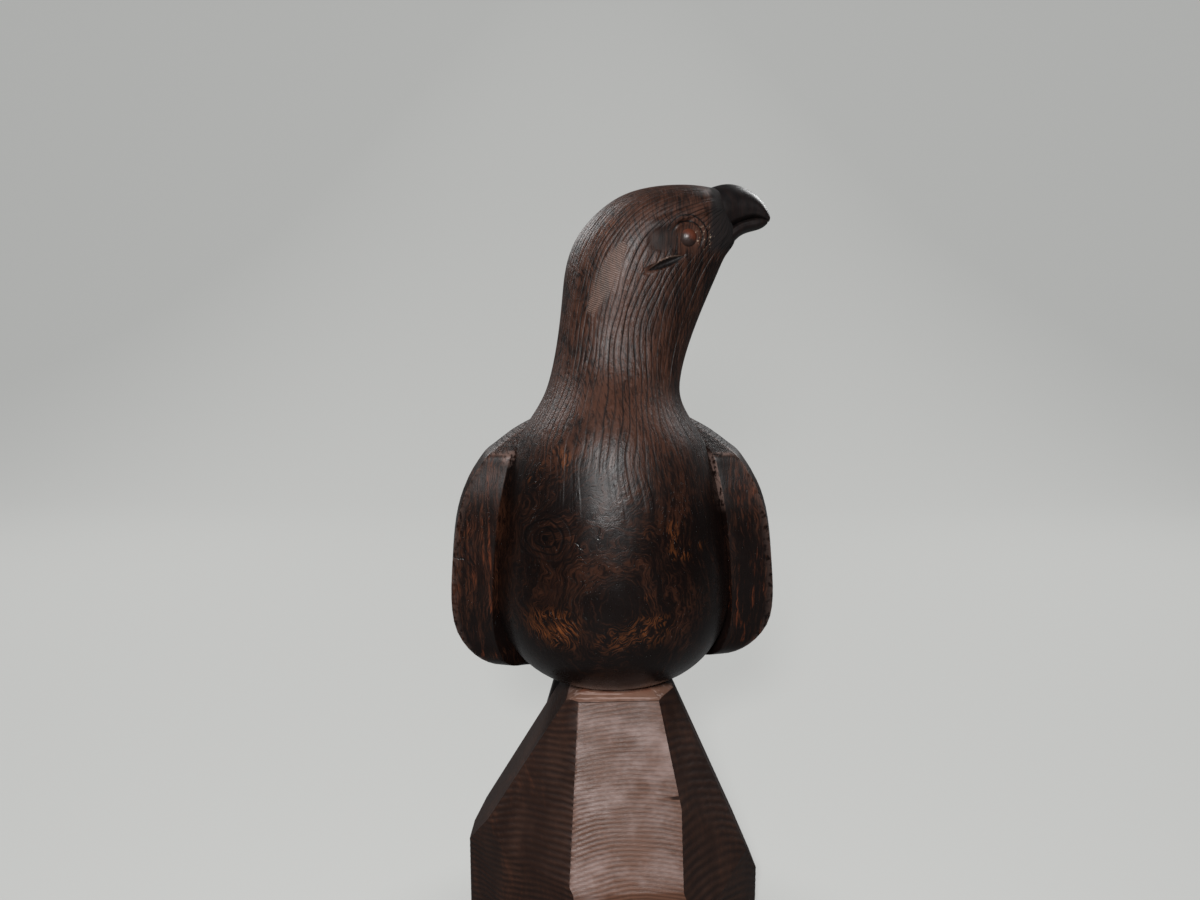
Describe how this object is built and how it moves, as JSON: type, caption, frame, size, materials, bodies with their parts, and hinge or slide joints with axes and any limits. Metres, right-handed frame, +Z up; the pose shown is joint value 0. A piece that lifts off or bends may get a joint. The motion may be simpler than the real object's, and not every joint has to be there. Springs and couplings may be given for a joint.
{
  "type": "ironwood eagle carving",
  "caption": "Hand-carved eagle with folded wings and a head turned to one side, cut together with its faceted rock from one block of dark wood; it stands on a flat underside.",
  "frame": {"origin": "middle of the rock's flat underside", "axes": "+Z up, the bird's breast faces -Y, and its beak points to +X"},
  "size_m": [0.0818, 0.0731, 0.1944],
  "materials": {
    "ironwood": "oiled and polished, with the rock left rasped"
  },
  "bodies": {
    "root": {"eagle_carving": "ironwood"}
  },
  "joints": []
}
